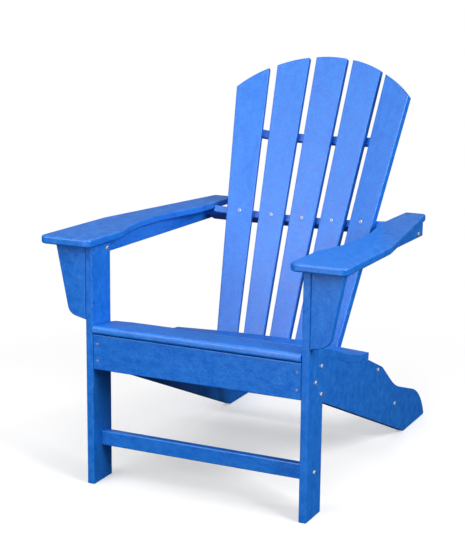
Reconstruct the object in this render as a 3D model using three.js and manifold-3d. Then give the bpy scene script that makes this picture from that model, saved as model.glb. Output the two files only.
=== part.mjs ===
// Adirondack chair built from recycled-plastic lumber, fixed frame, no moving parts.
// Millimetres. +Z is up, the front of the chair faces -Y, and +X is the sitter's left.
// The origin is on the floor under the middle of the chair's overall box.
import * as THREE from 'three';
import { mergeVertices } from 'three/addons/utils/BufferGeometryUtils.js';
import Module from 'manifold-3d';

const wasm = await Module();
wasm.setup();

const DEG = Math.PI / 180;

// ---------- driving sizes ----------

// lumber stock
const BOARD = 18; // thickness of every board
const EDGE = 3; // round-over on the long edges of a board
const ARM_EDGE = 5; // larger round-over on the arms
const SEAT_NOSE = 8; // round front edge of the first seat slat
const FIT = 0.3; // clearance between boards that meet at an angle
const END_PLAY = 0.6; // clearance at each end of a board that sits between the legs
const ARC_ERROR = 0.15; // furthest that a faceted arc lies from the true arc

// front legs
const SEAT_WIDTH = 508; // between the inner faces of the front legs
const LEG_DEPTH = 82.3;

// apron and stretchers
const APRON_SETBACK = 1.8; // apron face behind the front of the legs
const APRON_HEIGHT = 82.5;
const STRETCHER_HEIGHT = 35.6;
const STRETCHER_FLOOR_GAP = 85.4; // floor to underside of the front stretcher
const STRETCHER_SETBACK = 32.6;
const REAR_STRETCHER_SETBACK = 153; // centre of the rear stretcher behind the seat's rear end
const REAR_STRETCHER_Z = 95;

// seat: five slats on a faceted curve cut into the side rails
const SEAT_FRONT_Y = -8; // start of the curve, on the underside of the slats
const SEAT_FRONT_Z = 359.7;
const SEAT_PITCH = 96.5; // along the curve
const SEAT_SLOPES = [6.3, 15.6, 20.7, 14.7, 6.5]; // degrees down towards the back
const SEAT_TOP_GAP = 0.8; // least gap between the upper edges of two slats
const SEAT_UNDER_GAP = 2.4; // least gap between the lower edges of two slats
const SEAT_NOSE_SETBACK = 3; // front slat's nose behind the start of the curve
const SEAT_REAR_DEPTH = 90; // rear slat on the centre line
const SEAT_BACK_GAP = 2.5; // between the rear seat slat and the back slats

// side rails: seat bearer and rear leg in one board; setbacks are behind the seat's rear end
const RAIL_FRONT_Z = 279.6; // underside at the apron
const RAIL_HEEL_SETBACK = 230; // where the underside reaches the floor
const RAIL_TOE_SETBACK = 392; // rearmost point of the foot
const RAIL_SHOULDER_SETBACK = 55; // convex corner behind the seat
const RAIL_SHOULDER_DROP = 38.5; // below the seat's rear end
const RAIL_WAIST_SETBACK = 151; // concave bend above the foot
const RAIL_WAIST_Z = 142;
const RAIL_HUMP_INSET = 38; // rounded back of the foot, ahead of its rearmost point
const RAIL_HUMP_Z = 75;
const RAIL_SHOULDER_R = 42;
const RAIL_WAIST_R = 230;
const RAIL_HUMP_R = 158;
const RAIL_HEEL_R = 14;
const RAIL_TOE_R = 5;

// arms
const ARM_TOP = 578.6; // above the floor, over the front of the legs
const ARM_SLOPE = 1; // degrees down towards the back
const ARM_FRONT_Y = -41;
const ARM_REAR_SETBACK = 234; // rear end behind the seat's rear end
const ARM_INNER_X = 236.5; // inner edge beside the front leg
const ARM_WAIST_X = 265; // inner edge where the curve is deepest
const ARM_INNER_REAR_X = 236.5;
const ARM_OUTER_X = 366.5;
const ARM_TAPER_X = 362.5; // outer edge where it turns in
const ARM_OUTER_REAR_X = 290;
const ARM_CURVE_START_Y = 112;
const ARM_WAIST_Y = 285;
const ARM_CURVE_END_Y = 500;
const ARM_TAPER_Y = 238;
const ARM_FLARE = 0.6; // how sharply the inner edge leaves its straight front part
const ARM_RETURN = 0.6; // and how sharply it meets its straight rear part
const ARM_CURVE_LEAVE = 0.35; // share of each curve's length that its first handle takes
const ARM_CURVE_ARRIVE = 0.4; // and its second
const ARM_FRONT_R = 18;
const ARM_TAPER_R = 60;
const ARM_REAR_R = 9;

// arm supports and brackets
const SUPPORT_HEIGHT = 34;
const SUPPORT_REAR_GAP = 20; // support's rear end ahead of the arm's
const BRACKET_TOP_X = 348.5; // reach of the bracket under the arm
const BRACKET_LOW_X = 315.5;
const BRACKET_LOW_Z = 397.5; // height of the outer lower corner
const BRACKET_FOOT_Z = 387.5;
const BRACKET_CORNER_R = 26;

// back: five tapered slats fanned over three curved rails
// heights up the back start at the rear end of the seat
const RECLINE = 24.6; // degrees from upright
const BACK_CURVE_R = 755; // of the rails, on the backs of the slats
const BACK_TOP = 747; // top of the centre slat
const ARCH_R = 318; // arch over the slats' tops
const SLAT_TAIL = 14; // slats run on below the middle of the lower rail
const SLAT_CORNER_R = 6;
const PITCH_LOW = 67.9; // slat spacing at the lower rail
const PITCH_HIGH = 93; // slat spacing at the top rail
const WIDTH_LOW = 50.8; // slat width at the lower rail
const WIDTH_HIGH = 74.8; // slat width at the top rail

const LOWER_RAIL_S = -25; // middle of the rail, measured up the back
const TOP_RAIL_S = 533.5;
const RAIL_REAR_W = 69; // flat rear edge of lower and middle rails behind the centre slat's face
const TOP_RAIL_DEPTH = 17.5;
const TOP_RAIL_HEIGHT = 21;
const TOP_RAIL_REACH = 212; // half length
const RAIL_TAB_RELIEF = 1.5; // middle rail's shoulder inside the arm

// fasteners
const BOLT = { head: 5.4, height: 2.4, shank: 3.2, sides: 12 };
const SCREW = { head: 4.2, height: 1.6, shank: 2.2, sides: 10 };
const TRIM_SCREW = { head: 2.5, height: 1, shank: 1.7, sides: 10 }; // apron and bracket screws
const HOLE_PLAY = 0.3; // between a shank and its hole
const LEG_BOLTS = [[71.5, 334.2], [38.8, 305.6], [71.5, 271.2]]; // Y, Z on the leg
const LEG_BOLT_LENGTH = 32;
const END_BOLT_LENGTH = 58; // bolts that run into the end of a board
const ARM_BOLT_Y = 68.4;
const SUPPORT_BOLT_W = 53.5; // rear support bolt behind the centre slat's face
const SUPPORT_BOLT_DROP = 25; // and below the underside of the arm
const LOWER_RAIL_BOLT_W = 37;
const APRON_SCREW_INSET = 21.6; // from the apron's long edges
const APRON_SCREW_SIDE = 10.4; // from the inner face of the leg
const APRON_SCREW_LENGTH = 48;
const SLAT_SCREW_LENGTH = 42;
const BRACKET_SCREW_SETBACK = 8.5;
const BRACKET_SCREWS_Z = [426, 546];
const BRACKET_SCREW_LENGTH = 34;
const COUNTERBORE = 4; // depth that the bracket screws are sunk in the leg
const COUNTERBORE_PLAY = 0.5;

// ---------- materials ----------

const lumber = () => new THREE.MeshStandardMaterial({ color: 0x1f66d6, roughness: 0.55, metalness: 0 });
const steel = () => new THREE.MeshStandardMaterial({ color: 0xc9ccd0, roughness: 0.3, metalness: 1 });

// ---------- helpers ----------

const vec = (x, y, z) => new THREE.Vector3(x, y, z);

// Turns corner points [x, y, radius] into a closed outline with each corner rounded.
// A rounded corner is never tighter than the round-over of the board's edges, and two
// roundings on one side share its length.
function outline(corners, edge = EDGE) {
  const count = corners.length;
  const at = (i) => new THREE.Vector2(...corners[(i + count) % count]);
  const bends = corners.map(([, , wanted = 0], i) => {
    const before = at(i - 1).sub(at(i)).normalize();
    const after = at(i + 1).sub(at(i)).normalize();
    const turn = Math.PI - Math.acos(THREE.MathUtils.clamp(before.dot(after), -1, 1));
    const radius = turn < 0.01 ? 0 : wanted && Math.max(wanted, edge + 0.5);
    return { before, after, turn, radius, reach: radius * Math.tan(turn / 2) };
  });
  const reachAt = (i) => bends[(i + count) % count].reach;
  const share = (i, j) => at(i).distanceTo(at(j)) / (reachAt(i) + reachAt(j));
  return bends.flatMap(({ before, after, turn, radius: wanted }, i) => {
    if (!wanted) return [at(i)];
    const radius = wanted * Math.min(1, share(i, i + 1), share(i, i - 1));
    const middle = before.clone().add(after).normalize();
    const centre = at(i).addScaledVector(middle, radius / Math.cos(turn / 2));
    const start = at(i).addScaledVector(before, radius * Math.tan(turn / 2)).sub(centre);
    const side = Math.sign(before.cross(after));
    const steps = Math.max(2, Math.ceil(turn / (2 * Math.acos(1 - Math.min(0.5, ARC_ERROR / radius)))));
    return Array.from({ length: steps + 1 }, (_, k) => {
      const spoke = start.clone().rotateAround(new THREE.Vector2(), (-side * turn * k) / steps);
      return centre.clone().add(spoke);
    });
  });
}

// A board: an outline in XY with its two faces at z = 0 and z = thickness, edges rounded over.
function boardGeometry(points, thickness = BOARD, edge = EDGE) {
  const round = Math.min(edge, thickness * 0.45);
  const geometry = new THREE.ExtrudeGeometry(new THREE.Shape(points), {
    depth: thickness - 2 * round,
    bevelThickness: round,
    bevelSize: round,
    bevelOffset: -round,
    bevelSegments: 2,
    steps: 1,
  });
  return geometry.translate(0, 0, round);
}

// A straight length of lumber, x0 to x1 long and y0 to y1 wide: long edges rounded over, ends sawn square.
function barGeometry(x0, x1, y0, y1) {
  const section = [[y0, 0, EDGE], [y1, 0, EDGE], [y1, BOARD, EDGE], [y0, BOARD, EDGE]];
  const shape = new THREE.Shape(outline(section, 0));
  const geometry = new THREE.ExtrudeGeometry(shape, { depth: x1 - x0, bevelEnabled: false, steps: 1 });
  const lengthwise = new THREE.Matrix4().makeBasis(vec(0, 1, 0), vec(0, 0, 1), vec(1, 0, 0));
  return geometry.applyMatrix4(lengthwise).translate(x0, 0, 0);
}

// Directions that a board's outline and thickness run in.
const facing = {
  side: [vec(0, 1, 0), vec(0, 0, 1), vec(1, 0, 0)], // outline in YZ, thickness along +X
  upright: [vec(0, 0, 1), vec(0, -1, 0), vec(1, 0, 0)], // length along +Z, width along -Y
  front: [vec(1, 0, 0), vec(0, 0, 1), vec(0, -1, 0)], // outline in XZ, thickness along -Y
  flat: [vec(1, 0, 0), vec(0, 1, 0), vec(0, 0, 1)], // outline in XY, thickness along +Z
};

const boards = {};

function addBoard(parent, name, geometry, way, x, y, z) {
  const mesh = new THREE.Mesh(geometry, lumber());
  mesh.name = name;
  mesh.quaternion.setFromRotationMatrix(new THREE.Matrix4().makeBasis(...way));
  mesh.position.set(x, y, z);
  parent.add(mesh);
  boards[name] = mesh;
  return mesh;
}

const sides = [
  { name: 'left', sign: 1 },
  { name: 'right', sign: -1 },
];

// x of the low-X face of a board whose outer face is at distance `outer` on one side
const lowFace = (sign, outer) => (sign > 0 ? outer - BOARD : -outer);

// ---------- shared places ----------

const legInner = SEAT_WIDTH / 2;
const legOuter = legInner + BOARD;
const supportOuter = legOuter + BOARD;
const railInner = legInner - BOARD;
const halfSlat = legInner - END_PLAY;
const apronBack = APRON_SETBACK + BOARD;
const armTilt = ARM_SLOPE * DEG;
const recline = RECLINE * DEG;
const armUnder = (y) => ARM_TOP - BOARD / Math.cos(armTilt) - y * Math.tan(armTilt);

// corners of the seat curve, on top of the side rails
const seatCurve = [[SEAT_FRONT_Y, SEAT_FRONT_Z]];
SEAT_SLOPES.forEach((slope) => {
  const [y, z] = seatCurve.at(-1);
  seatCurve.push([y + SEAT_PITCH * Math.cos(slope * DEG), z - SEAT_PITCH * Math.sin(slope * DEG)]);
});

// rear end of the seat on the centre line, and the face of the centre slat behind it
const rearSlope = SEAT_SLOPES.at(-1) * DEG;
const rearCorner = seatCurve.at(-2);
const seatRearZ = rearCorner[1] - SEAT_REAR_DEPTH * Math.sin(rearSlope);
const seatRearY = rearCorner[0] + SEAT_REAR_DEPTH * Math.cos(rearSlope) + SEAT_BACK_GAP;

// height of the seat curve over a point between the first two corners
const frontSeatZ = (y) => SEAT_FRONT_Z - (y - SEAT_FRONT_Y) * Math.tan(SEAT_SLOPES[0] * DEG);
const apronTop = frontSeatZ(apronBack) - FIT;

const chair = new THREE.Group();
const frame = new THREE.Group();
chair.add(frame);

// ---------- front legs, apron and front stretcher ----------

for (const { name, sign } of sides) {
  const leg = barGeometry(0, armUnder(0) - FIT, -LEG_DEPTH, 0);
  const corners = leg.attributes.position;
  for (let i = 0; i < corners.count; i += 1) {
    if (corners.getX(i) > 0) corners.setX(i, armUnder(-corners.getY(i)) - FIT); // top sawn to the arm's slope
  }
  addBoard(frame, `${name}_front_leg`, leg, facing.upright, lowFace(sign, legOuter), 0, 0);
}

const apron = barGeometry(-halfSlat, halfSlat, 0, APRON_HEIGHT);
addBoard(frame, 'front_apron', apron, facing.front, 0, apronBack, apronTop - APRON_HEIGHT);

const stretcher = barGeometry(-legInner, legInner, 0, STRETCHER_HEIGHT);
const stretcherBack = STRETCHER_SETBACK + BOARD;
addBoard(frame, 'front_stretcher', stretcher, facing.front, 0, stretcherBack, STRETCHER_FLOOR_GAP);

// ---------- back frame: shared by the back, the rear seat slat and the middle rail's tabs ----------

const back = new THREE.Group();
back.position.set(0, seatRearY, seatRearZ);
back.rotation.x = -recline;
frame.add(back);

// The middle rail is held by the arm supports, so its place up the back follows the arms.
// climb: how far the arms' underside gains on a line that runs straight back through the slats.
const climb = Math.sin(recline) - Math.tan(armTilt) * Math.cos(recline);
const boltRoom = armUnder(seatRearY) - SUPPORT_BOLT_DROP - seatRearZ + SUPPORT_BOLT_W * climb;
const middleRailS = boltRoom / (Math.cos(recline) + Math.tan(armTilt) * Math.sin(recline));

// forward bow of the back at a distance x from the centre
const bow = (x) => BACK_CURVE_R - Math.sqrt(BACK_CURVE_R ** 2 - x ** 2);

// point of the frame at a place in the back's own frame
const fromBack = (x, y, z) => vec(x, y, z).applyEuler(back.rotation).add(back.position);

// ---------- seat slats ----------

// extra room that the upper edges of two slats need where the curve bends up
function jointGap(i) {
  const bend = (SEAT_SLOPES[i - 1] - SEAT_SLOPES[i]) * DEG;
  return Math.max(SEAT_UNDER_GAP, SEAT_TOP_GAP + 2 * BOARD * Math.tan(Math.max(0, bend) / 2));
}

const seatNames = ['front', 'second', 'third', 'fourth', 'rear'].map((place) => `seat_slat_${place}`);

// Rear edge of the rear slat: an arc that keeps its gap to the faces of the back slats, and
// runs on straight past them.
const rearArcR = (BACK_CURVE_R - BOARD) * Math.cos(recline) - SEAT_BACK_GAP;
const rearArcEnd = 2 * PITCH_LOW + WIDTH_LOW / 2 + EDGE;
function rearEdge(x) {
  const onArc = Math.min(Math.abs(x), rearArcEnd);
  const rise = Math.sqrt(rearArcR ** 2 - onArc ** 2);
  return SEAT_REAR_DEPTH - rearArcR + rise - ((Math.abs(x) - onArc) * onArc) / rise;
}

seatNames.forEach((name, i) => {
  const [y, z] = seatCurve[i];
  const seat = new THREE.Group();
  seat.position.set(0, y, z);
  seat.rotation.x = -SEAT_SLOPES[i] * DEG;
  frame.add(seat);
  const start = i ? jointGap(i) / 2 : SEAT_NOSE_SETBACK;
  const end = i < 4 ? SEAT_PITCH - jointGap(i + 1) / 2 : 0;
  if (i === 0) {
    const corners = [
      [start, FIT, SEAT_NOSE * 0.6],
      [end, FIT, EDGE],
      [end, FIT + BOARD, EDGE],
      [start, FIT + BOARD, SEAT_NOSE],
    ];
    const nose = boardGeometry(outline(corners), 2 * halfSlat, 1);
    addBoard(seat, name, nose, facing.side, -halfSlat, 0, 0);
  } else if (i < 4) {
    addBoard(seat, name, barGeometry(-halfSlat, halfSlat, start, end), facing.flat, 0, 0, FIT);
  } else {
    const points = [new THREE.Vector2(-halfSlat, start), new THREE.Vector2(halfSlat, start)];
    points.push(new THREE.Vector2(halfSlat, rearEdge(halfSlat)));
    const steps = 10;
    for (let k = 0; k <= steps; k += 1) {
      const x = rearArcEnd * (1 - (2 * k) / steps);
      points.push(new THREE.Vector2(x, rearEdge(x)));
    }
    points.push(new THREE.Vector2(-halfSlat, rearEdge(halfSlat)));
    addBoard(seat, name, boardGeometry(points), facing.flat, 0, 0, FIT);
  }
});

// ---------- side rails and rear stretcher ----------

const seatEnd = rearEdge(halfSlat) + FIT;
const railSeatEnd = [
  rearCorner[0] + seatEnd * Math.cos(rearSlope),
  rearCorner[1] - seatEnd * Math.sin(rearSlope),
];
const railFront = apronBack + FIT;
const toeY = seatRearY + RAIL_TOE_SETBACK;

for (const { name, sign } of sides) {
  const corners = [
    [railFront, RAIL_FRONT_Z],
    [seatRearY + RAIL_HEEL_SETBACK, 0, RAIL_HEEL_R],
    [toeY, 0, RAIL_TOE_R],
    [toeY - RAIL_HUMP_INSET, RAIL_HUMP_Z, RAIL_HUMP_R],
    [seatRearY + RAIL_WAIST_SETBACK, RAIL_WAIST_Z, RAIL_WAIST_R],
    [seatRearY + RAIL_SHOULDER_SETBACK, seatRearZ - RAIL_SHOULDER_DROP, RAIL_SHOULDER_R],
    railSeatEnd,
    ...seatCurve.slice(1, 5).reverse(),
    [railFront, frontSeatZ(railFront)],
  ];
  const rail = boardGeometry(outline(corners));
  addBoard(frame, `${name}_side_rail`, rail, facing.side, lowFace(sign, legInner), 0, 0);
}

const rearStretcher = barGeometry(-railInner, railInner, 0, STRETCHER_HEIGHT);
const rearStretcherY = seatRearY + REAR_STRETCHER_SETBACK;
const rearStretcherZ = REAR_STRETCHER_Z - STRETCHER_HEIGHT / 2;
addBoard(frame, 'rear_stretcher', rearStretcher, facing.front, 0, rearStretcherY + BOARD / 2, rearStretcherZ);

// ---------- back slats ----------

const slatNames = [
  'back_slat_outer_right',
  'back_slat_inner_right',
  'back_slat_centre',
  'back_slat_inner_left',
  'back_slat_outer_left',
];
const span = TOP_RAIL_S - LOWER_RAIL_S;
const archCentre = BACK_TOP - ARCH_R;

const slats = slatNames.map((name, i) => {
  const k = i - 2;
  // the slat's back face, at the lower and top rails
  const low = vec(k * PITCH_LOW, BOARD - bow(k * PITCH_LOW), LOWER_RAIL_S);
  const high = vec(k * PITCH_HIGH, BOARD - bow(k * PITCH_HIGH), TOP_RAIL_S);
  const along = high.clone().sub(low).normalize();
  const turn = (Math.asin(low.x / BACK_CURVE_R) + Math.asin(high.x / BACK_CURVE_R)) / 2;
  const across = vec(Math.cos(turn), -Math.sin(turn), 0);
  across.addScaledVector(along, -across.dot(along)).normalize();
  const rearward = along.clone().cross(across);

  const group = new THREE.Group();
  group.quaternion.setFromRotationMatrix(new THREE.Matrix4().makeBasis(across, rearward, along));
  group.position.copy(low);
  back.add(group);

  const halfWidth = (v) => (WIDTH_LOW + ((WIDTH_HIGH - WIDTH_LOW) * v) / span) / 2;

  // height up the slat at which it meets the arch, at the side offset u
  const archAt = (u) => {
    const x = low.x + u * across.x;
    const z = low.z + u * across.z - archCentre;
    const a = along.x ** 2 + along.z ** 2;
    const b = x * along.x + z * along.z;
    const c = x ** 2 + z ** 2 - ARCH_R ** 2;
    return (-b + Math.sqrt(b ** 2 - a * c)) / a;
  };
  const cornerAt = (side) => {
    let v = BACK_TOP - LOWER_RAIL_S;
    for (let n = 0; n < 8; n += 1) v = archAt(side * halfWidth(v));
    return [side * halfWidth(v), v];
  };
  const right = cornerAt(1);
  const left = cornerAt(-1);
  const corners = [
    [-halfWidth(-SLAT_TAIL), -SLAT_TAIL],
    [halfWidth(-SLAT_TAIL), -SLAT_TAIL],
    [...right, SLAT_CORNER_R],
  ];
  const steps = 6;
  for (let n = 1; n < steps; n += 1) {
    const u = right[0] + ((left[0] - right[0]) * n) / steps;
    corners.push([u, archAt(u)]);
  }
  corners.push([...left, SLAT_CORNER_R]);
  addBoard(group, name, boardGeometry(outline(corners)), facing.front, 0, 0, 0);

  // depth of the slat's back face in the back's frame, over a point (x, z)
  const faceAt = (x, z) => low.y - (rearward.x * (x - low.x) + rearward.z * (z - low.z)) / rearward.y;
  // the slat's two edges at a height z
  const edgesAt = (z) => {
    const v = (z - low.z) / along.z;
    return [-1, 1].map((side) => low.x + v * along.x + side * halfWidth(v));
  };
  return { name, group, low, along, faceAt, edgesAt };
});

// ---------- back rails ----------

// Front edge of a rail between two heights: one flat behind each slat, running out to x = reach.
function railFlats(low, high, reach) {
  const flats = slats.map(({ faceAt, edgesAt }) => {
    const at = (x) => Math.max(faceAt(x, low), faceAt(x, high)) + FIT;
    return edgesAt((low + high) / 2).map((x) => [x, at(x)]);
  });
  const runOut = ([x0, y0], [x1, y1], x) => [x, y0 + ((y1 - y0) * (x - x0)) / (x1 - x0)];
  const first = flats[0];
  const last = flats.at(-1);
  const inner = flats.flat().slice(1, -1);
  return [runOut(...first, -reach), ...inner, runOut(...last, reach)];
}

const lowerRail = outline([
  ...railFlats(LOWER_RAIL_S - BOARD / 2, LOWER_RAIL_S + BOARD / 2, railInner),
  [railInner, RAIL_REAR_W],
  [-railInner, RAIL_REAR_W],
]);
addBoard(back, 'lower_back_rail', boardGeometry(lowerRail), facing.flat, 0, 0, LOWER_RAIL_S - BOARD / 2);

// the middle rail's ends are stepped back so that they pass under the arms
const middleTop = middleRailS + BOARD / 2;
const shoulderX = ARM_INNER_REAR_X - RAIL_TAB_RELIEF;
const tabCorner = fromBack(0, 0, middleTop);
const tabRoom = armUnder(tabCorner.y) - FIT * 2 - tabCorner.z;
const tabFront = -tabRoom / climb;
const middleRail = outline([
  [-legOuter, tabFront],
  [-shoulderX, tabFront],
  ...railFlats(middleRailS - BOARD / 2, middleTop, shoulderX),
  [shoulderX, tabFront],
  [legOuter, tabFront],
  [legOuter, RAIL_REAR_W],
  [-legOuter, RAIL_REAR_W],
]);
addBoard(back, 'middle_back_rail', boardGeometry(middleRail), facing.flat, 0, 0, middleRailS - BOARD / 2);

const topLow = TOP_RAIL_S - TOP_RAIL_HEIGHT / 2;
const topFlats = railFlats(topLow, topLow + TOP_RAIL_HEIGHT, TOP_RAIL_REACH);
const topRear = topFlats.map(([x, y]) => [x, y + TOP_RAIL_DEPTH]).reverse();
const topRail = boardGeometry(outline([...topFlats, ...topRear]), TOP_RAIL_HEIGHT);
addBoard(back, 'top_back_rail', topRail, facing.flat, 0, 0, topLow);

// ---------- arms, arm supports and brackets ----------

const armSet = new THREE.Group();
armSet.position.z = armUnder(0);
armSet.rotation.x = -armTilt;
frame.add(armSet);

const armRear = seatRearY + ARM_REAR_SETBACK;

// Curve along the arm from one place to another, without its first point.
// leaveX and arriveX are where its two handles lie.
function sweep([x0, y0], [x1, y1], leaveX, arriveX, steps) {
  const length = y1 - y0;
  const curve = new THREE.CubicBezierCurve(
    new THREE.Vector2(x0, y0),
    new THREE.Vector2(leaveX, y0 + length * ARM_CURVE_LEAVE),
    new THREE.Vector2(arriveX, y1 - length * ARM_CURVE_ARRIVE),
    new THREE.Vector2(x1, y1),
  );
  return curve.getPoints(steps).slice(1).map((p) => [p.x, p.y]);
}

for (const { name, sign } of sides) {
  const start = [ARM_INNER_X, ARM_CURVE_START_Y];
  const waist = [ARM_WAIST_X, ARM_WAIST_Y];
  const end = [ARM_INNER_REAR_X, ARM_CURVE_END_Y];
  const flareX = ARM_INNER_X + (ARM_WAIST_X - ARM_INNER_X) * ARM_FLARE;
  const returnX = ARM_INNER_REAR_X + (ARM_WAIST_X - ARM_INNER_REAR_X) * ARM_RETURN;
  const corners = [
    [ARM_OUTER_X, ARM_FRONT_Y, ARM_FRONT_R],
    [ARM_INNER_X, ARM_FRONT_Y, ARM_FRONT_R],
    start,
    ...sweep(start, waist, flareX, ARM_WAIST_X, 7),
    ...sweep(waist, end, ARM_WAIST_X, returnX, 9),
    [ARM_INNER_REAR_X, armRear, ARM_REAR_R],
    [ARM_OUTER_REAR_X, armRear, ARM_REAR_R],
    [ARM_TAPER_X, ARM_TAPER_Y, ARM_TAPER_R],
  ].map(([x, y, r]) => [sign * x, y, r]);
  const arm = boardGeometry(outline(corners, ARM_EDGE), BOARD, ARM_EDGE);
  addBoard(armSet, `${name}_arm`, arm, facing.flat, 0, 0, 0);

  const supportFront = BOARD + FIT + (SUPPORT_HEIGHT + FIT) * Math.tan(armTilt);
  const supportEnd = armRear - SUPPORT_REAR_GAP;
  const support = barGeometry(supportFront, supportEnd, -SUPPORT_HEIGHT - FIT, -FIT);
  addBoard(armSet, `${name}_arm_support`, support, facing.side, lowFace(sign, supportOuter), 0, 0);

  const bracketTop = armUnder(BOARD) - FIT;
  const bracket = outline([
    [sign * legOuter, BRACKET_FOOT_Z],
    [sign * BRACKET_LOW_X, BRACKET_LOW_Z, BRACKET_CORNER_R],
    [sign * BRACKET_TOP_X, bracketTop],
    [sign * legOuter, bracketTop],
  ]);
  addBoard(frame, `${name}_arm_bracket`, boardGeometry(bracket), facing.front, 0, BOARD, 0);
}

// ---------- fasteners ----------

// Solids of revolution about +Z: the head is below z = 0 and the shank runs up from it.
function turned(profile, count) {
  const points = profile.map(([r, z]) => new THREE.Vector2(r, z));
  return new THREE.LatheGeometry(points, count).rotateX(Math.PI / 2);
}

const fastenerGeometry = ({ head, height, shank, sides: count }, length) => turned([
  [0, -height],
  [head * 0.7, -height],
  [head, -height * 0.4],
  [head, 0],
  [shank, 0],
  [shank, length - shank],
  [0, length],
], count);

const cuts = [];

// Adds a fastener whose head bears at `place`, driven along `way` through the named boards.
function fasten(parent, name, kind, length, place, way, through, sunk = 0) {
  const mesh = new THREE.Mesh(fastenerGeometry(kind, length), steel());
  mesh.name = name;
  mesh.quaternion.setFromUnitVectors(vec(0, 0, 1), way);
  mesh.position.copy(place).addScaledVector(way, sunk ? sunk - FIT : -FIT);
  parent.add(mesh);
  const r = kind.shank + HOLE_PLAY;
  const hole = turned([[0, -1], [r, -1], [r, length + 1], [0, length + 1]], kind.sides);
  through.forEach((board) => cuts.push({ board, mesh, tool: hole }));
  if (sunk) {
    const wide = kind.head + COUNTERBORE_PLAY;
    const well = turned([[0, -sunk - 1], [wide, -sunk - 1], [wide, FIT], [0, FIT]], kind.sides);
    cuts.push({ board: through[0], mesh, tool: well });
  }
}

const rearward = vec(0, 1, 0);

for (const { name, sign } of sides) {
  const inward = vec(-sign, 0, 0);
  const leg = `${name}_front_leg`;
  const rail = `${name}_side_rail`;
  const support = `${name}_arm_support`;
  ['upper', 'middle', 'lower'].forEach((level, i) => {
    const place = vec(sign * legOuter, ...LEG_BOLTS[i]);
    fasten(frame, `${name}_leg_bolt_${level}`, BOLT, LEG_BOLT_LENGTH, place, inward, [leg, rail]);
  });
  const endBolts = [
    ['stretcher_bolt', legOuter, STRETCHER_SETBACK + BOARD / 2, STRETCHER_FLOOR_GAP + STRETCHER_HEIGHT / 2,
      [leg, 'front_stretcher']],
    ['rear_stretcher_bolt', legInner, rearStretcherY, REAR_STRETCHER_Z, [rail, 'rear_stretcher']],
  ];
  endBolts.forEach(([label, x, y, z, through]) => {
    fasten(frame, `${name}_${label}`, BOLT, END_BOLT_LENGTH, vec(sign * x, y, z), inward, through);
  });
  const lowerBolt = vec(sign * legInner, LOWER_RAIL_BOLT_W, LOWER_RAIL_S);
  const lowerHolds = [rail, 'lower_back_rail'];
  fasten(back, `${name}_lower_rail_bolt`, BOLT, END_BOLT_LENGTH, lowerBolt, inward, lowerHolds);
  const supportBolt = vec(sign * supportOuter, SUPPORT_BOLT_W, middleRailS);
  const supportHolds = [support, 'middle_back_rail'];
  fasten(back, `${name}_support_bolt`, BOLT, END_BOLT_LENGTH, supportBolt, inward, supportHolds);
  const armBolt = vec(sign * legInner, ARM_BOLT_Y, -SUPPORT_HEIGHT / 2);
  fasten(armSet, `${name}_arm_bolt`, BOLT, LEG_BOLT_LENGTH, armBolt, vec(sign, 0, 0), [leg, support]);
  ['lower', 'upper'].forEach((level, i) => {
    const screwX = sign * (legInner - APRON_SCREW_SIDE);
    const screwZ = apronTop - (i ? APRON_SCREW_INSET : APRON_HEIGHT - APRON_SCREW_INSET);
    const place = vec(screwX, APRON_SETBACK, screwZ);
    fasten(frame, `${name}_apron_screw_${level}`, TRIM_SCREW, APRON_SCREW_LENGTH, place, rearward,
      ['front_apron', rail]);
    const well = vec(sign * legInner, BRACKET_SCREW_SETBACK, BRACKET_SCREWS_Z[i]);
    fasten(frame, `${name}_bracket_screw_${level}`, TRIM_SCREW, BRACKET_SCREW_LENGTH, well, vec(sign, 0, 0),
      [leg, `${name}_arm_bracket`], COUNTERBORE);
  });
}

slats.forEach(({ name, group, low, along }) => {
  const place = vec(0, -BOARD, (middleRailS - low.z) / along.z);
  const label = name.replace('back_slat', 'slat_screw');
  fasten(group, label, SCREW, SLAT_SCREW_LENGTH, place, rearward, [name, 'middle_back_rail']);
});

// ---------- drilling ----------

function toSolid(geometry) {
  const bare = geometry.clone();
  bare.deleteAttribute('normal');
  bare.deleteAttribute('uv');
  const merged = mergeVertices(bare, 1e-4);
  const triangles = [];
  const index = merged.index.array;
  for (let i = 0; i < index.length; i += 3) {
    const [a, b, c] = index.slice(i, i + 3);
    if (a !== b && b !== c && c !== a) triangles.push(a, b, c); // a lathe's poles leave slivers
  }
  return new wasm.Manifold(new wasm.Mesh({
    numProp: 3,
    vertProperties: new Float32Array(merged.attributes.position.array),
    triVerts: new Uint32Array(triangles),
  }));
}

function toGeometry(solid) {
  const { vertProperties, triVerts } = solid.getMesh();
  const geometry = new THREE.BufferGeometry();
  geometry.setAttribute('position', new THREE.BufferAttribute(new Float32Array(vertProperties), 3));
  geometry.setIndex(new THREE.BufferAttribute(new Uint32Array(triVerts), 1));
  geometry.computeVertexNormals();
  return geometry;
}

// the origin goes under the middle of the overall box
const box = new THREE.Box3().setFromObject(frame, true);
frame.position.y = -(box.min.y + box.max.y) / 2;

chair.updateMatrixWorld(true);
const drilled = new Map();
for (const { board, mesh, tool } of cuts) {
  const target = boards[board];
  const toBoard = target.matrixWorld.clone().invert().multiply(mesh.matrixWorld);
  const blank = drilled.get(target) ?? toSolid(target.geometry);
  drilled.set(target, blank.subtract(toSolid(tool.clone().applyMatrix4(toBoard))));
}
for (const [target, solid] of drilled) target.geometry = toGeometry(solid);

export default chair;
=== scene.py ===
# Looks for the adirondack chair: fine-edged boards, detailed fasteners, lumber and steel materials, studio.
import math

import bmesh
import bpy
from mathutils import Matrix, Vector


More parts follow.
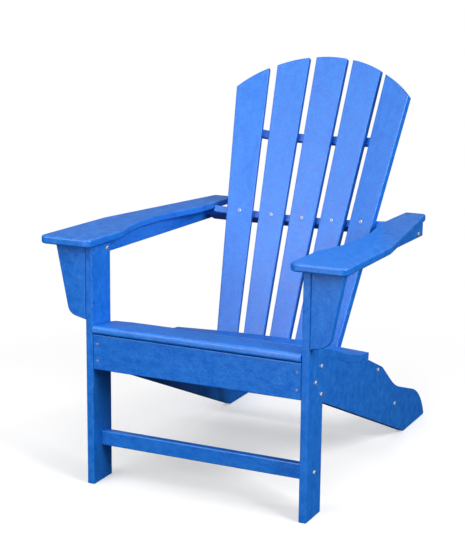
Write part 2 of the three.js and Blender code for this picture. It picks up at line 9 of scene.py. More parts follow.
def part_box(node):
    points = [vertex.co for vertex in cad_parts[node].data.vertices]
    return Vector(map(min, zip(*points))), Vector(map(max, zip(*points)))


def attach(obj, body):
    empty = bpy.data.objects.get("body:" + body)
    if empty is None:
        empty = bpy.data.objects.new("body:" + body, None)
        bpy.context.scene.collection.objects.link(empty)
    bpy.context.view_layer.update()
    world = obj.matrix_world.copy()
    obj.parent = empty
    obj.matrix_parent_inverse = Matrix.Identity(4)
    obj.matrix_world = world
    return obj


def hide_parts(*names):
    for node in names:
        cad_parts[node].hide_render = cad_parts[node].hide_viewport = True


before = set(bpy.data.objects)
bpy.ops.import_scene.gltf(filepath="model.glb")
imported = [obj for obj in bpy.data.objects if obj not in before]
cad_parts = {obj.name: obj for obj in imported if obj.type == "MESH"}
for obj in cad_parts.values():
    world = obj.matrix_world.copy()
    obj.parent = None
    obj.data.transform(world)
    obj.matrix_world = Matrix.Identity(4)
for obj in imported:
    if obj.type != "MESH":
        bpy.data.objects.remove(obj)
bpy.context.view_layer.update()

MM = 0.001

# ---------- sizes of the finish ----------

ROUND_STEPS = 6  # strips across each round-over
ARRIS = 0.7 * MM  # sawn edges and corners, barely eased
ARRIS_STEPS = 3
CORNER_POINTS = 4  # along each eased corner of an outline
RAIL_ROUND = 1.5 * MM  # the side rails' lower and back edges
ARCH_TRIM = 1 * MM  # back slats' sawn tops, inside the CAD slats' rounded ones
WELL_R = 3 * MM  # sunk screws in the front legs
WELL_DEPTH = 4 * MM
WELL_RIM = 0.5 * MM
WELL_SIDES = 32
HEAD_SIDES = 48
HEAD_SKIRT = 0.3 * MM  # carries a head down to the board's face

# ---------- how the CAD boards are read ----------

WELD = 0.01 * MM
LEVEL_ERROR = 0.03 * MM  # most that the two ends of a level edge differ in depth
RIM_ERROR = 0.05 * MM  # most that the edges of one outline differ in depth
CURVE_SEGMENT = 25 * MM  # outline segments shorter than this are part of a curve
REAR_SLAT_SEGMENT = 40 * MM  # the same for the rear seat slat's flatter arc
CORNER_SEGMENT = 4 * MM  # back slats' outline segments shorter than this round a corner off
CORNER_BEND = math.radians(24)  # a sharper bend is a corner, and a gentler one part of a curve
LONG_SIDE = 2.2  # times its neighbour's length, from which a side keeps its own direction

STEEL_WORDS = ("bolt", "screw")
# boards with rounded long edges and square-sawn ends
BAR_WORDS = ("front_leg", "arm_support", "apron", "stretcher", "slat_second", "slat_third", "slat_fourth")


# ---------- reading a board ----------

def welded(node):
    """The CAD node's surface with its split corners joined again."""
    surface = bmesh.new()
    surface.from_mesh(node.data)
    bmesh.ops.remove_doubles(surface, verts=surface.verts, dist=WELD)
    surface.normal_update()
    return surface


def around(loop):
    """Each point of a closed loop with the next one."""
    return zip(loop, loop[1:] + loop[:1])


def widest_direction(surface):
    """Direction of the largest flat faces: the sum of all the normals that agree with the largest face."""
    biggest = max(surface.faces, key=lambda face: face.calc_area()).normal.copy()
    if max(biggest, key=abs) < 0:
        biggest = -biggest
    total = Vector()
    for face in surface.faces:
        agrees = face.normal.dot(biggest)
        if abs(agrees) > 0.9999:
            total += face.normal * face.calc_area() * math.copysign(1, agrees)
    return total.normalized()


def chained(edges):
    """The longest closed loop among these edges, as a list of points."""
    links = {}
    for edge in edges:
        a, b = edge.verts
        links.setdefault(a.index, []).append(b)
        links.setdefault(b.index, []).append(a)
    loops, seen = [], set()
    for edge in edges:
        at, before = edge.verts[0], None
        loop = []
        while at.index not in seen:
            seen.add(at.index)
            loop.append(at.co.copy())
            onward = [v for v in links[at.index] if v is not before]
            before, at = at, onward[0]
        loops.append(loop)
    return max(loops, key=lambda loop: sum((p - q).length for p, q in around(loop)))


def is_bar(name):
    return name.endswith(BAR_WORDS)


def bar_corners(points, long_edge, axis):
    """The four corners of a bar's outline."""
    lengthwise = (long_edge.verts[1].co - long_edge.verts[0].co).normalized()
    crosswise = axis.cross(lengthwise)
    reach = [max(abs((p - points[0]).dot(way)) for p in points) for way in (lengthwise, crosswise)]
    corners = []
    for x, y in ((1, 1), (-1, 1), (-1, -1), (1, -1)):
        far = lengthwise * (x / reach[0]) + crosswise * (y / reach[1])
        corners.append(max(points, key=lambda p: p.dot(far)))
    return corners


def read_board(node):
    """Outline, thickness direction, the levels of the two faces and the round-over of a CAD board."""
    surface = welded(node)
    surface.verts.index_update()
    if node.name == "seat_slat_front":  # its outline is the rounded section seen from the side
        axis = Vector((1, 0, 0))
    elif node.name == "top_back_rail":  # deeper than it is high, and parallel to the middle rail
        axis = widest_direction(welded(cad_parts["middle_back_rail"]))
    else:
        axis = widest_direction(surface)
    heights = [v.co.dot(axis) for v in surface.verts]
    low, high = min(heights), max(heights)
    rims = []  # level edges between an upright wall and a leaning round-over, with their depth
    for edge in surface.edges:
        wall, slope = sorted(abs(face.normal.dot(axis)) for face in edge.link_faces)
        first, second = (v.co.dot(axis) for v in edge.verts)
        if wall < 0.02 < slope < 0.98 and abs(first - second) < LEVEL_ERROR:
            rims.append((high - (first + second) / 2, edge))
    edge_round = min(depth for depth, _ in rims)
    if is_bar(node.name):
        rim = bar_corners([v.co.copy() for v in surface.verts], rims[0][1], axis)
    else:
        rim = chained([edge for depth, edge in rims if depth < edge_round + RIM_ERROR])
    surface.free()
    return rim, axis, low, high, edge_round


def flat_frame(rim, axis):
    """Unit directions along and across an outline, by its second moments about its middle."""
    middle = sum(rim, Vector()) / len(rim)
    aside = axis.orthogonal().normalized()
    other = axis.cross(aside)
    xx = yy = xy = 0
    for p, q in around(rim):
        at, weight = (p + q) / 2 - middle, (p - q).length
        x, y = at.dot(aside), at.dot(other)
        xx, yy, xy = xx + weight * x * x, yy + weight * y * y, xy + weight * x * y
    angle = math.atan2(2 * xy, xx - yy) / 2
    along = aside * math.cos(angle) + other * math.sin(angle)
    return along, axis.cross(along)


# ---------- outlines, in a board's own plane ----------

def squared(points):
    """The outline with its rounded corners made sharp again, where the long sides meet."""
    sides = [(p, q) for p, q in around(points) if (q - p).length > CORNER_SEGMENT]
    corners = []
    for (p, q), (r, s) in around(sides):
        if (r - q).length < ARRIS / 10:
            corners.append(q)
        else:
            first, second = q - p, s - r
            corners.append(p + first * ((r - p).cross(second) / first.cross(second)))
    return corners


def sawn_slat(points, up):
    """A back slat's outline with square-sawn ends. up is 1 or -1, the way to its top along x."""
    corners = squared(points)
    middle = (min(p.x for p in corners) + max(p.x for p in corners)) / 2
    return [p - Vector((ARCH_TRIM * up, 0)) if (p.x - middle) * up > 0 else p for p in corners]


def with_crossings(points, line):
    """The outline with a point added wherever it crosses the line y = line."""
    out = []
    for p, q in around(points):
        out.append(p)
        if (p.y - line) * (q.y - line) < 0:
            out.append(p.lerp(q, (line - p.y) / (q.y - p.y)))
    return out


def turn_at(p, q, r):
    """Angle by which the way from p over q to r turns left at q."""
    a, b = q - p, r - q
    return math.atan2(a.cross(b), a.dot(b))


def tangent_at(p, q, r):
    """Direction of a smooth outline at q: a long straight side keeps its own direction."""
    a, b = q - p, r - q
    if a.length > LONG_SIDE * b.length:
        return a.normalized()
    if b.length > LONG_SIDE * a.length:
        return b.normalized()
    return (a.normalized() * b.length + b.normalized() * a.length).normalized()


def on_curve(p, q, leave, arrive, h):
    """Point and direction at share h of the smooth curve from p to q, which starts and ends along two tangents."""
    reach = (q - p).length
    place = (
        p * (2 * h**3 - 3 * h**2 + 1) + leave * reach * (h**3 - 2 * h**2 + h)
        + q * (3 * h**2 - 2 * h**3) + arrive * reach * (h**3 - h**2)
    )
    slope = (
        (q - p) * (6 * h - 6 * h**2)
        + leave * reach * (3 * h**2 - 4 * h + 1) + arrive * reach * (3 * h**2 - 2 * h)
    )
    return place, slope.normalized()


def tilt_at(level, radius):
    """How far a round-over has turned at this level below the face."""
    return math.acos(1 - level / radius) if level < radius else math.pi / 2


def inset(level, radius):
    """How far inside the outline a round-over lies at this level below the face."""
    return radius * (1 - math.sin(tilt_at(level, radius)))


class Corner:
    """A place on the outline, with the points that round it off and their normals."""

    def __init__(self, at, before, after):
        self.at, self.before, self.after = at, before, after  # outward normals of the sides that meet here
        self.agree = before.dot(after)
        self.mitre = (before + after) / max(0.2, 1 + self.agree)
        self.eased = self.agree < math.cos(CORNER_BEND) and before.cross(after) > 0
        self.count = CORNER_POINTS if self.eased else 1
        self.rounds = ARRIS, ARRIS  # round-over of the side before and of the side after

    def inside(self, level):
        """The place at this level below the face, and how much corner is left to round off there."""
        d1, d2 = (inset(level, radius) for radius in self.rounds)
        c = self.agree
        if c > 0.94:  # nearly straight on
            return self.at - self.mitre * ((d1 + d2) / 2), 0
        share = 1 - c * c
        place = self.at + self.before * ((c * d2 - d1) / share) + self.after * ((c * d1 - d2) / share)
        return place, max(0.0, ARRIS - min(d1, d2)) if self.eased else 0

    def points(self, level):
        """The corner's points at this level. They are one and the same where nothing is left to round off."""
        place, left = self.inside(level)
        if left <= 0:
            return [place] * self.count
        return [
            place - self.mitre * left + self.before.slerp(self.after, step / (self.count - 1)) * left
            for step in range(self.count)
        ]

    def normal(self, step, side, level, board, way):
        """Surface normal. side is 1 for the face that follows this place and -1 for the one that leads to it."""
        first, second = (
            board.leaning(outward, tilt_at(level, radius), way)
            for outward, radius in zip((self.before, self.after), self.rounds)
        )
        if self.eased:
            return first.slerp(second, step / (self.count - 1)).normalized()
        return (second if side > 0 else first).normalized()


def refined(points, curve_limit):
    """The outline with its curves made finer, as Corner places, counter-clockwise."""
    if sum(p.cross(q) for p, q in around(points)) < 0:
        points = points[::-1]
    count = len(points)

    def at(i):
        return points[i % count]

    def bend(i):
        return turn_at(at(i - 1), at(i), at(i + 1))

    def smooth(i):
        """True if the outline runs on smoothly here. A curve may also meet a long side at an angle."""
        before, after = (at(i) - at(i - 1)).length, (at(i + 1) - at(i)).length
        if abs(bend(i)) > CORNER_BEND or min(before, after) > curve_limit:
            return False
        if max(before, after) < curve_limit:
            return True
        onward = bend(i + 1) if before > after else bend(i - 1)
        return abs(bend(i)) < 0.8 * abs(onward) + math.radians(1)

    def curved(i):
        """True if the side from i to i + 1 is part of a curve."""
        return smooth(i) and smooth(i + 1) and (at(i + 1) - at(i)).length < curve_limit

    def outward(direction):
        return Vector((direction.y, -direction.x))

    places = []
    for i in range(count):
        side_in, side_out = (at(i) - at(i - 1)).normalized(), (at(i + 1) - at(i)).normalized()
        if curved(i) or curved(i - 1):
            tangent = tangent_at(at(i - 1), at(i), at(i + 1))
            side_in = tangent if curved(i - 1) or smooth(i) else side_in
            side_out = tangent if curved(i) or smooth(i) else side_out
        places.append(Corner(at(i), outward(side_in), outward(side_out)))
        if curved(i):
            p, q = at(i), at(i + 1)
            leave, arrive = tangent_at(at(i - 1), p, q), tangent_at(p, q, at(i + 2))
            for share in (1 / 3, 2 / 3):
                place, slope = on_curve(p, q, leave, arrive, share)
                places.append(Corner(place, outward(slope), outward(slope)))
    return places


# ---------- building a board ----------

class Board:
    """A board in the making: its own directions, its mesh and one normal per corner of each face."""

    def __init__(self, along, across, axis):
        self.along, self.across, self.axis = along, across, axis  # right-handed
        self.mesh = bmesh.new()
        self.normals = []

    def flat(self, p):
        return Vector((p.dot(self.along), p.dot(self.across)))

    def in_space(self, p, height=0.0):
        return self.along * p.x + self.across * p.y + self.axis * height

    def leaning(self, outward, tilt, way):
        return self.in_space(outward) * math.sin(tilt) + self.axis * way * math.cos(tilt)

    def vertex(self, p, height):
        return self.mesh.verts.new(self.in_space(p, height))

    def face(self, corners):
        """Adds a face from (vertex, normal) pairs. Repeated vertices are dropped."""
        kept = [c for i, c in enumerate(corners) if c[0] is not corners[i - 1][0]]
        if len(kept) > 2:
            self.mesh.faces.new([v for v, _ in kept])
            self.normals.extend(n for _, n in kept)


def side_round(name, outward, lengthwise, edge_round):
    """Round-over of one side of a board's outline, from the way that side faces.
    lengthwise is how much of the outward direction lies along the board."""
    if name == "seat_slat_front":
        return ARRIS
    if is_bar(name):
        return ARRIS if lengthwise > 0.8 else edge_round
    if name.startswith("back_slat"):
        return ARRIS if lengthwise > 0.5 else edge_round
    if name == "seat_slat_rear":
        return ARRIS if abs(outward.x) > 0.95 else edge_round
    if name.endswith("side_rail"):
        return ARRIS if outward.z > 0.5 else RAIL_ROUND
    return edge_round


def round_over_levels(places):
    """Levels below a face, from its flat middle over every round-over to the wall."""
    levels = set()
    for radius in {r for place in places for r in place.rounds}:
        steps = ROUND_STEPS if radius > 2 * ARRIS else ARRIS_STEPS
        for k in range(steps + 1):
            levels.add(round(radius * (1 - math.cos(math.pi / 2 * k / steps)), 7))
    return sorted(levels)


def ring_of(board, places, level, height):
    """A vertex for each point of the outline at one level, shared where a corner's points are one."""
    ring = []
    for place in places:
        points = place.points(level)
        if points[0] is points[-1]:
            ring += [board.vertex(points[0], height)] * place.count
        else:
            ring += [board.vertex(p, height) for p in points]
    return ring


def build_board(node, wells=()):
    """A new board on the CAD board's outline, with finely rounded edges, sawn ends and sunk wells."""
    rim, axis, low, high, edge_round = read_board(node)
    board = Board(*flat_frame(rim, axis), axis)
    outline = [board.flat(p) for p in rim]
    if node.name.startswith("back_slat"):
        outline = sawn_slat(outline, math.copysign(1, board.along.z))
    spots = sorted((board.flat(w) for w in wells), key=lambda spot: spot.x)
    line = sum(spot.y for spot in spots) / len(spots) if spots else None  # the wells' common line
    if spots:
        outline = with_crossings(outline, line)
    places = refined(outline, REAR_SLAT_SEGMENT if node.name == "seat_slat_rear" else CURVE_SEGMENT)
    for place, after in around(places):
        outward = board.in_space((place.after + after.before).normalized())
        radius = side_round(node.name, outward, abs(outward.dot(board.along)), edge_round)
        place.rounds = place.rounds[0], radius
        after.rounds = radius, after.rounds[1]

    # rings of vertices from the upper face over both round-overs to the lower face
    levels = round_over_levels(places)
    rings = [(level, 1, ring_of(board, places, level, high - level)) for level in levels]
    rings += [(level, -1, ring_of(board, places, level, low + level)) for level in reversed(levels)]
    slots = [(place, step) for place in places for step in range(place.count)]

    def corner(ring, i, side):
        (level, way, vertices), (place, step) = ring, slots[i]
        return vertices[i], place.normal(step, side, level, board, way)

    for upper, lower in zip(rings, rings[1:]):
        for i in range(len(slots)):
            j = (i + 1) % len(slots)
            board.face([corner(upper, i, 1), corner(lower, i, 1), corner(lower, j, -1), corner(upper, j, -1)])

    welled = 0  # 1 if the wells are sunk in the upper face, -1 if in the lower one
    if wells:
        welled = 1 if abs(wells[0].dot(axis) - high) < abs(wells[0].dot(axis) - low) else -1
    for way, level, (_, _, ring) in ((1, high, rings[0]), (-1, low, rings[-1])):
        outer = [v for v, onward in around(ring) if v is not onward][::way]
        if way == welled:
            cap_with_wells(board, outer, way, level, spots, line)
        else:
            board.face([(v, axis * way) for v in outer])
    return finished(node, board)


def sink_well(board, spot, way, level):
    """A round well in the face at this level, with an eased rim. Returns the rim's vertices."""
    up = board.axis * way
    profile = (
        (WELL_R + WELL_RIM, 0), (WELL_R + 0.3 * WELL_RIM, 0.3 * WELL_RIM), (WELL_R, WELL_RIM), (WELL_R, WELL_DEPTH),
    )
    angles = [2 * math.pi * k / WELL_SIDES for k in range(WELL_SIDES)]
    circle = [Vector((math.cos(a), math.sin(a))) for a in angles]
    inward = [-board.in_space(p) for p in circle]
    rings = [[board.vertex(spot + p * radius, level - way * depth) for p in circle] for radius, depth in profile]
    normals = [[up] * WELL_SIDES, [(up + n).normalized() for n in inward], inward, inward]
    corners = [list(zip(*ring)) for ring in zip(rings, normals)]
    for upper, lower in zip(corners, corners[1:]):
        for (a, b), (c, d) in zip(around(upper), around(lower)):
            board.face([a, b, d, c][::way])
    board.face([(v, up) for v in rings[-1]][::way])
    return rings[0]


def cap_with_wells(board, outer, way, level, spots, line):
    """Flat face with round sunk wells, built as the two halves either side of the line through the wells."""
    rims = [sink_well(board, Vector((spot.x, line)), way, level) for spot in spots]
    ring = [(v, board.flat(v.co)) for v in outer]
    first, second = sorted(sorted(range(len(ring)), key=lambda i: abs(ring[i][1].y - line))[:2])
    for path in (ring[first:second + 1], ring[second:] + ring[:first + 1]):
        side = 1 if sum(p.y for _, p in path) / len(path) > line else -1
        rightward = path[-1][1].x < path[0][1].x  # the way back along the line, round each well
        loop = [v for v, _ in path]
        for rim in rims if rightward else rims[::-1]:
            half = [rim[side * k % WELL_SIDES] for k in range(WELL_SIDES // 2 + 1)]
            loop += half[::-1] if rightward else half
        board.face([(v, board.axis * way) for v in loop])


def finished(node, board):
    """Mesh object of the board, riding on the chair, with its grain coordinates."""
    data = bpy.data.meshes.new(node.name + "_board")
    board.mesh.to_mesh(data)
    board.mesh.free()
    data.shade_smooth()
    data.normals_split_custom_set([tuple(n) for n in board.normals])
    piece = bpy.data.objects.new(node.name + "_board", data)
    bpy.context.scene.collection.objects.link(piece)
    seed = sum(ord(c) * (i + 3) for i, c in enumerate(node.name)) % 97
    directions = board.along, board.across, board.axis
    if node.name == "seat_slat_front":  # built along its section, so its length is the axis
        directions = board.axis, board.along, board.across
    shift = Vector((seed * 0.37, seed * 0.61, seed * 0.23))
    grain = data.attributes.new("grain", "FLOAT_VECTOR", "POINT")
    values = []
    for v in data.vertices:
        values.extend(Vector([v.co.dot(way) for way in directions]) + shift)
    grain.data.foreach_set("vector", values)
    tone = data.attributes.new("tone", "FLOAT", "POINT")
    tone.data.foreach_set("value", [(seed % 13) / 12] * len(data.vertices))
    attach(piece, "root")
    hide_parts(node.name)
    return piece


# ---------- fasteners ----------

def read_fastener(node):
    """Place where the head bears, direction into the wood, head radius and height, from the CAD node."""
    surface = welded(node)
    points = [v.co.copy() for v in surface.verts]
    surface.free()
    middle = sum(points, Vector()) / len(points)
    # the axis runs from the crown, the ring of points farthest from the tip, to the tip
    tip = max(points, key=lambda p: (p - middle).length)
    length = max((p - tip).length for p in points)
    crown_ring = [p for p in points if (p - tip).length > length - 0.6 * MM]
    way = (tip - sum(crown_ring, Vector()) / len(crown_ring)).normalized()

    def depth(p):
        return (p - tip).dot(way)

    def from_axis(p):
        return (p - tip - way * depth(p)).length

    radius = max(from_axis(p) for p in points)
    bearing = max(depth(p) for p in points if from_axis(p) > radius - 0.1 * MM)
    return tip + way * bearing, way, radius, bearing - min(depth(p) for p in points)


# Each kind's head in shares of its radius and height: from its rim to its recess, the recess's
# outline, and the height of the recess's floor.
HEADS = {
    "bolt": {
        "profile": [(1, 0), (1, 0.22), (0.97, 0.36), (0.90, 0.56), (0.78, 0.76), (0.62, 0.92), (0.48, 1)],
        "recess": lambda a: 0.36 / math.cos((a % (math.pi / 3)) - math.pi / 6),  # hexagon
        "floor": 0.05,
    },
    "slat_screw": {
        "profile": [(1, 0), (1, 0.22), (0.95, 0.50), (0.84, 0.80), (0.68, 1), (0.56, 1)],
        "recess": lambda a: 0.42 + 0.06 * math.cos(6 * a),  # six lobes
        "floor": 0.1,
    },
    "trim_screw": {
        "profile": [(1, 0), (1, 0.30), (0.94, 0.70), (0.84, 1), (0.78, 1)],
        "recess": lambda a: 0.64 + 0.07 * math.cos(6 * a),
        "floor": 0.1,
    },
}
RECESS_LIP = 0.94  # height of the recess's upper edge
RECESS_TAPER = 0.96  # its floor's width against its upper edge's


def build_fastener(node):
    """The part of a bolt or screw that shows: its head, with a recess for the driver."""
    kind = "bolt" if "bolt" in node.name else "slat_screw" if "slat_screw" in node.name else "trim_screw"
    shape = HEADS[kind]
    place, way, radius, height = read_fastener(node)
    out = -way
    side = out.orthogonal().normalized()
    other = out.cross(side)
    skirt = 0.0 if "bracket" in node.name else HEAD_SKIRT
    mesh = bmesh.new()

    def ring(share_at, up):
        made = []
        for k in range(HEAD_SIDES):
            a = 2 * math.pi * k / HEAD_SIDES
            r = radius * share_at(a)
            made.append(mesh.verts.new(place + out * up + (side * math.cos(a) + other * math.sin(a)) * r))
        return made

    rings = []
    for share, up in shape["profile"]:
        rings.append(ring(lambda a, share=share: share, up * height if up else -skirt))
    rings.append(ring(shape["recess"], RECESS_LIP * height))
    rings.append(ring(lambda a: shape["recess"](a) * RECESS_TAPER, shape["floor"] * height))
    # the recess's walls and floor take the second material, which paints them dark: painted shade of the hollow,
    # with some grime
    for outer, inner in zip(rings, rings[1:]):
        for (a, b), (c, d) in zip(around(outer), around(inner)):
            mesh.faces.new([a, b, d, c]).material_index = 1 if inner is rings[-1] else 0
    mesh.faces.new(rings[-1]).material_index = 1
    mesh.faces.new(rings[0][::-1])
    name = node.name + "_head"
    data = bpy.data.meshes.new(name)
    mesh.to_mesh(data)
    mesh.free()
    data.shade_smooth()
    data.set_sharp_from_angle(angle=math.radians(38))
    head = bpy.data.objects.new(name, data)
    bpy.context.scene.collection.objects.link(head)
    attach(head, "root")
    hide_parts(node.name)
    return head


# ---------- node trees ----------

class Nodes:
    """A node tree, with short calls that add a node and return one of its outputs."""

    def __init__(self, tree):
        self.nodes, self.links = tree.nodes, tree.links

    def add(self, kind, inputs=None, output=0, **settings):
        """Each input is a plain value or another node's output."""
        node = self.nodes.new("ShaderNode" + kind)
        for name, value in settings.items():
            setattr(node, name, value)
        for name, value in (inputs or {}).items():
            self.feed(node.inputs[name], value)
        return node.outputs[output]

    def feed(self, socket, value):
        if isinstance(value, bpy.types.NodeSocket):
            self.links.new(value, socket)
        else:
            socket.default_value = value

    def maths(self, kind, *values):
        return self.add("Math", dict(enumerate(values)), operation=kind)

    def weighted(self, *parts):
        """Sum of (output, weight) pairs."""
        total = 0.0
        for value, weight in parts:
            total = self.maths("MULTIPLY_ADD", value, weight, total)
        return total

    def ranged(self, value, low, high, at_low, at_high):
        return self.add("MapRange", {
            "Value": value, "From Min": low, "From Max": high, "To Min": at_low, "To Max": at_high,
        }, "Result")

    def noise(self, place, scale, stretch=(1, 1, 1), detail=2.0, rough=0.5):
        stretched = self.add("Mapping", {"Vector": place, "Scale": stretch})
        return self.add("TexNoise", {
            "Vector": stretched, "Scale": scale, "Detail": detail, "Roughness": rough,
        }, "Fac")

    def ramp(self, value, *stops):
        """Colour between two stops, each a position and a colour."""
        node = self.nodes.new("ShaderNodeValToRGB")
        for element, (position, colour) in zip(node.color_ramp.elements, stops):
            element.position, element.color = position, (*colour, 1)
        self.links.new(value, node.inputs["Fac"])
        return node.outputs["Color"]


def new_material(name):
    """A new material, its node tree and the inputs of its shader."""
    material = bpy.data.materials.new(name)
    material.use_nodes = True
    tree = material.node_tree
    return material, Nodes(tree), tree.nodes["Principled BSDF"].inputs


# ---------- materials ----------

def lumber_material():
    """Recycled-plastic lumber: blue, fine orange-peel skin, faint streaks along the board."""
    material, tree, skin = new_material("lumber")
    grain = tree.add("Attribute", output="Vector", attribute_name="grain")
    tone = tree.add("Attribute", output="Fac", attribute_name="tone")
    blotch = tree.noise(grain, 28, (0.6, 1, 1), 3.0, 0.55)  # 20 to 60 mm clouds
    cloud = tree.noise(grain, 64, (0.8, 1, 1), 2.0, 0.5)  # 10 to 30 mm
    mottle = tree.noise(grain, 170, (1, 1, 1), 2.0, 0.6)  # 3 to 6 mm
    peel = tree.noise(grain, 190, (1, 1, 1), 2.0, 0.6)
    streak = tree.noise(grain, 120, (0.035, 1, 1), 3.0, 0.6)  # along the board

    level = tree.weighted((blotch, 0.16), (cloud, 0.30), (mottle, 0.40), (streak, 0.10), (tone, 0.04))
    colour = tree.ramp(level, (0.34, (0.0010, 0.105, 0.560)), (0.66, (0.0160, 0.213, 0.730)))
    tree.feed(skin["Base Color"], colour)
    tree.feed(skin["Roughness"], tree.ranged(cloud, 0.30, 0.70, 0.28, 0.42))
    bump = tree.add("Bump", {
        "Strength": 0.6, "Distance": 1 * MM, "Height": tree.weighted((peel, 0.8), (streak, 0.2)),
    })
    tree.feed(skin["Normal"], bump)
    skin["IOR"].default_value = 1.58
    return material


def steel_material():
    """Stainless steel with fine handling marks."""
    material, tree, skin = new_material("steel")
    marks = tree.noise(tree.add("TexCoord", output="Object"), 900, detail=3.0)
    tree.feed(skin["Base Color"], tree.ramp(marks, (0.3, (0.52, 0.53, 0.54)), (0.7, (0.76, 0.77, 0.77))))
    tree.feed(skin["Roughness"], tree.ranged(marks, 0.0, 1.0, 0.54, 0.68))
    skin["Metallic"].default_value = 1.0
    return material


def recess_shade_and_grime_material():
    """The inside of a driver recess, coloured dark brown-grey: painted shade of the hollow, together with some
    grime.
    """
    material, tree, skin = new_material("socket")
    marks = tree.noise(tree.add("TexCoord", output="Object"), 1400)
    # dark brown-grey: painted shade of the recess, with some grime
    tree.feed(skin["Base Color"], tree.ramp(marks, (0.0, (0.030, 0.026, 0.022)), (1.0, (0.120, 0.100, 0.080))))
    skin["Roughness"].default_value = 0.6
    return material


LUMBER = lumber_material()
STEEL = steel_material()
RECESS_SHADE_AND_GRIME = recess_shade_and_grime_material()


# ---------- the chair ----------

def is_steel(name):
    return any(word in name for word in STEEL_WORDS)


def leg_wells(name):
    """Where the two bracket screws are sunk in a front leg's inner face."""
    side = name.split("_")[0]
    low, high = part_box(name)
    face = low.x if side == "left" else high.x
    wells = []
    for level in ("lower", "upper"):
        head = read_fastener(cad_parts[f"{side}_bracket_screw_{level}"])[0]
        wells.append(Vector((face, head.y, head.z)))
    return wells


for name in sorted(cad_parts):
    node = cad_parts[name]
    if is_steel(name):
        # the fasteners' second material paints their recesses dark: painted shade, with some grime
        piece, finish = build_fastener(node), (STEEL, RECESS_SHADE_AND_GRIME)
    else:
        wells = leg_wells(name) if name.endswith("front_leg") else ()
        piece, finish = build_board(node, wells), (LUMBER,)
    for material in finish:
        piece.data.materials.append(material)


# ---------- studio ----------

FLOOR_HALF = 14.0
FLOOR_DROP = 0.3 * MM  # below the feet
FLOOR_SEEN, FLOOR_BOUNCE = 0.72, 0.03  # its colour to the camera, and to all other rays
FLOOR_GLOW = 0.35  # its own light to the camera near the chair
FLOOR_FADE = 0.6, 1.3  # metres from the chair's middle over which the floor turns plain white
GLOW_BEHIND, GLOSS_ABOVE, GLOSS_BEHIND = 1.5, 1.0, 0.12  # strengths of the world's soft lobes


def studio_floor():
    """Plain pale floor. The camera sees its open part as white, and the chair's shadow on it as grey."""
    mesh = bmesh.new()
    signs = ((-1, -1), (1, -1), (1, 1), (-1, 1))
    mesh.faces.new([mesh.verts.new((x * FLOOR_HALF, y * FLOOR_HALF, -FLOOR_DROP)) for x, y in signs])
    data = bpy.data.meshes.new("studio_floor")
    mesh.to_mesh(data)
    mesh.free()
    floor = bpy.data.objects.new("studio_floor", data)
    bpy.context.scene.collection.objects.link(floor)
    material, tree, skin = new_material("studio_floor")
    camera_ray = tree.add("LightPath", output="Is Camera Ray")
    place = tree.add("TexCoord", output="Object")
    away = tree.add("VectorMath", {0: place}, "Value", operation="LENGTH")
    seen = tree.ranged(away, *FLOOR_FADE, FLOOR_SEEN, 0.0)
    glow = tree.ranged(away, *FLOOR_FADE, FLOOR_GLOW, 1.0)
    tree.feed(skin["Base Color"], tree.ranged(camera_ray, 0.0, 1.0, FLOOR_BOUNCE, seen))
    tree.feed(skin["Emission Strength"], tree.ranged(camera_ray, 0.0, 1.0, 0.0, glow))
    skin["Emission Color"].default_value = (1, 1, 1, 1)
    skin["Roughness"].default_value = 1.0
    skin["Specular IOR Level"].default_value = 0.0
    data.materials.append(material)


def direction(azimuth, elevation):
    """Unit vector. Azimuth 0 is in front of the chair, 90 on the sitter's left."""
    a, e = math.radians(azimuth), math.radians(elevation)
    return Vector((math.sin(a) * math.cos(e), -math.cos(a) * math.cos(e), math.sin(e)))


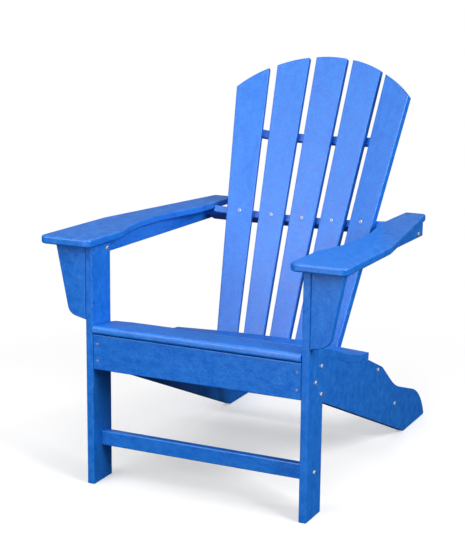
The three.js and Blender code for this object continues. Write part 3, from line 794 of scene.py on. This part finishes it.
def studio_world():
    """White to the camera, and pale in reflections from above and behind, where a soft glow lights the chair."""
    world = bpy.data.worlds.new("studio")
    bpy.context.scene.world = world
    world.use_nodes = True
    world.node_tree.nodes.clear()
    tree = Nodes(world.node_tree)
    place = tree.add("TexCoord", output="Generated")

    def lobe(toward, power, strength):
        """This strength in one direction, falling to 0 at right angles to it."""
        facing = tree.add("VectorMath", {0: place, 1: toward}, "Value", operation="DOT_PRODUCT")
        return tree.maths("MULTIPLY", tree.maths("POWER", tree.maths("MAXIMUM", facing, 0.0), power), strength)

    def background(strength):
        return tree.add("Background", {"Color": (1, 1, 1, 1), "Strength": strength})

    def mixed(share, first, second):
        return tree.add("MixShader", {"Fac": share, 1: first, 2: second})

    fill = background(lobe(direction(180, 20), 2.0, GLOW_BEHIND))
    above = lobe(direction(0, 90), 2.0, GLOSS_ABOVE)
    behind = lobe(direction(205, 13), 4.0, GLOSS_BEHIND)
    mirrored = background(tree.maths("ADD", above, behind))
    path = tree.nodes.new("ShaderNodeLightPath").outputs
    lit = mixed(path["Is Glossy Ray"], fill, mirrored)
    seen = tree.maths("MAXIMUM", path["Is Camera Ray"], path["Is Transmission Ray"])
    out = tree.nodes.new("ShaderNodeOutputWorld")
    tree.feed(out.inputs["Surface"], mixed(seen, lit, background(1.0)))


def softbox(name, azimuth, elevation, distance, wide, tall, power, aim=Vector((0, 0, 0.45))):
    """Rectangular lamp that faces the chair."""
    back = direction(azimuth, elevation)
    data = bpy.data.lights.new(name, "AREA")
    data.shape, data.size, data.size_y, data.energy = "RECTANGLE", wide, tall, power
    lamp = bpy.data.objects.new(name, data)
    bpy.context.scene.collection.objects.link(lamp)
    lamp.location = aim + back * distance
    lamp.rotation_mode = "QUATERNION"
    lamp.rotation_quaternion = (-back).to_track_quat("-Z", "Y")


studio_floor()
studio_world()
# azimuth and elevation in degrees, distance, width and height in metres, power in watts
softbox("key", -29, 34, 3.4, 2.4, 1.8, 46)
softbox("side", 78, 30, 3.4, 1.4, 1.4, 66)
softbox("rim", 60, 25, 3.4, 0.4, 1.6, 34)
softbox("front", 0, 12, 3.4, 3.0, 2.0, 60)
softbox("top", 0, 80, 2.6, 1.1, 1.1, 16)


# ---------- camera ----------

FOCAL = 97.08  # mm on a 36 mm wide film, along the picture's long side
CAMERA_FROM_LEGS = Vector((1427.8, -2810.3, 1240.8)) * MM  # from the floor in front of the front legs
AZIMUTH, ELEVATION = 25.424, 13.021  # direction from the chair to the camera
ROLL = math.radians(0.581)

leg_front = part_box("left_front_leg")[0].y
back = direction(AZIMUTH, ELEVATION)
right = Vector((0, 0, 1)).cross(back).normalized()
up = back.cross(right)
rolled_right = right * math.cos(ROLL) + up * math.sin(ROLL)
rolled_up = up * math.cos(ROLL) - right * math.sin(ROLL)
view = Matrix((rolled_right, rolled_up, back)).transposed()
lens = bpy.data.cameras.new("camera")
lens.lens = FOCAL
camera = bpy.data.objects.new("camera", lens)
bpy.context.scene.collection.objects.link(camera)
camera.matrix_world = Matrix.Translation(CAMERA_FROM_LEGS + Vector((0, leg_front, 0))) @ view.to_4x4()
bpy.context.scene.camera = camera
bpy.context.scene.view_settings.view_transform = "Standard"
